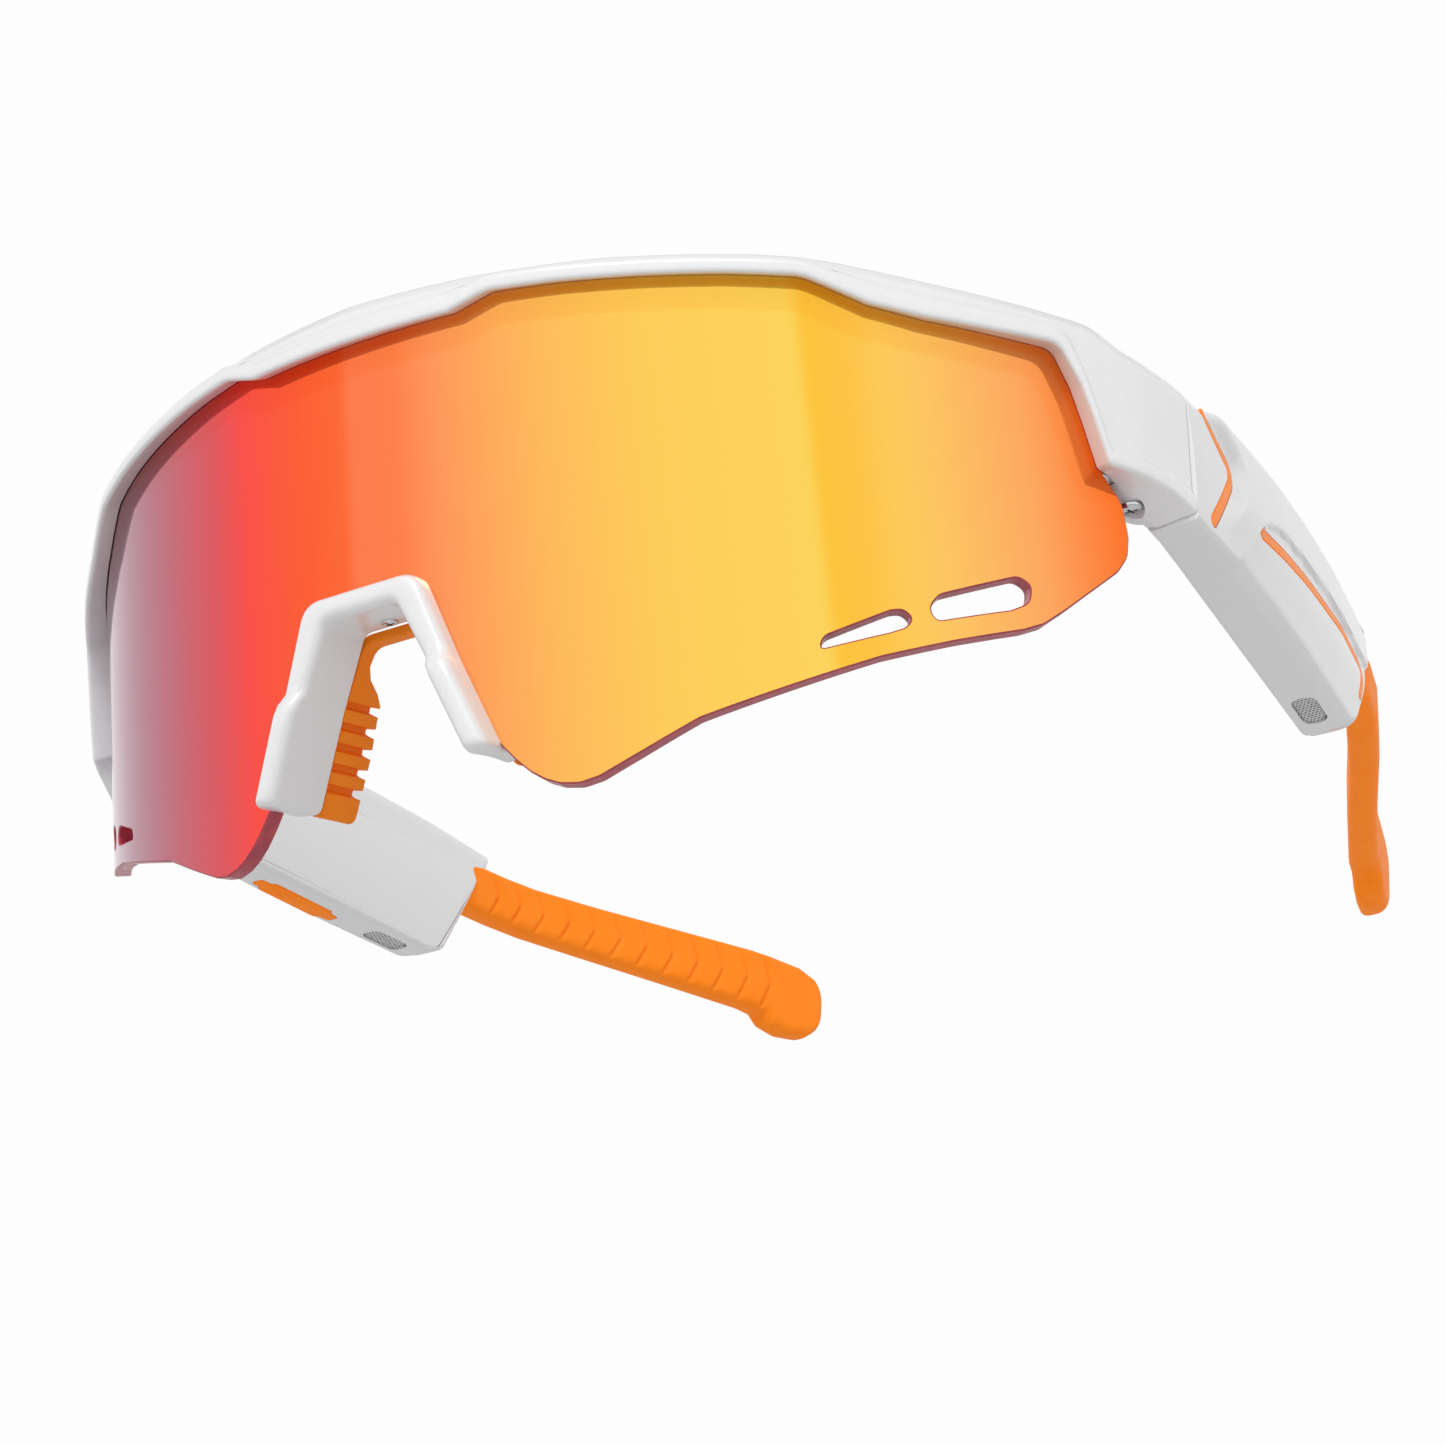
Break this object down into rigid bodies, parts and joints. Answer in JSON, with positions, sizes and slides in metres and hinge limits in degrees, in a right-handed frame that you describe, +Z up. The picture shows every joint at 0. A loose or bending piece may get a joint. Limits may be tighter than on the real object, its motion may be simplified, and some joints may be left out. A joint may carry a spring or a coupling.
{
  "type": "wraparound sport sunglasses",
  "caption": "Half-rim shield sunglasses with a mirrored wraparound lens, clip-on nose bridge and folding arms that hold speakers.",
  "frame": {"origin": "middle of the footprint, on the surface that the lens lobes and ear tips rest on", "axes": "+X towards the wearer's left, -Y the way the wearer looks, +Z up"},
  "size_m": [0.1524, 0.1558, 0.0588],
  "materials": {
    "white_plastic": "satin pearl white",
    "mirror_lens": "mirror coated, violet to red to gold",
    "orange_rubber": "soft matte",
    "orange_trim": "satin",
    "screw_steel": "polished",
    "hinge_steel": "brushed",
    "speaker_mesh": "perforated",
    "speaker_plastic": "moulded",
    "battery_foil": "foil pouch",
    "board_green": "solder mask"
  },
  "bodies": {
    "front": {"front_frame": "white_plastic", "shield_lens": "mirror_lens", "nose_bridge": "white_plastic", "nose_pad": "orange_rubber", "bridge_screw": "screw_steel", "hinge_screw_left": "screw_steel", "hinge_screw_right": "screw_steel"},
    "left_arm": {"left_case": "white_plastic", "left_inner_cover": "white_plastic", "left_hinge_leaf": "hinge_steel", "left_chevron_stripe": "orange_trim", "left_side_stripe": "orange_trim", "left_speaker_grille": "speaker_mesh", "left_speaker_driver": "speaker_plastic", "left_battery": "battery_foil", "left_circuit_board": "board_green", "left_tip_core": "hinge_steel", "left_ear_tip": "orange_rubber"},
    "right_arm": {"right_case": "white_plastic", "right_inner_cover": "white_plastic", "right_hinge_leaf": "hinge_steel", "right_chevron_stripe": "orange_trim", "right_side_stripe": "orange_trim", "right_speaker_grille": "speaker_mesh", "right_speaker_driver": "speaker_plastic", "right_battery": "battery_foil", "right_circuit_board": "board_green", "right_tip_core": "hinge_steel", "right_ear_tip": "orange_rubber"},
    "port_cover": {"right_port_cover": "orange_rubber"}
  },
  "joints": [
    {"name": "left_arm_fold", "type": "hinge", "parent": "front", "child": "left_arm", "pos_m": [0.07, -0.03428, 0.0311], "axis": [0, 0, 1], "range_deg": [0, 90]},
    {"name": "right_arm_fold", "type": "hinge", "parent": "front", "child": "right_arm", "pos_m": [-0.07, -0.03428, 0.0311], "axis": [0, 0, -1], "range_deg": [0, 72]},
    {"name": "port_cover_flap", "type": "hinge", "parent": "right_arm", "child": "port_cover", "pos_m": [-0.0712, -0.011, 0.01783], "axis": [-1, 0, 0], "range_deg": [0, 100]}
  ]
}
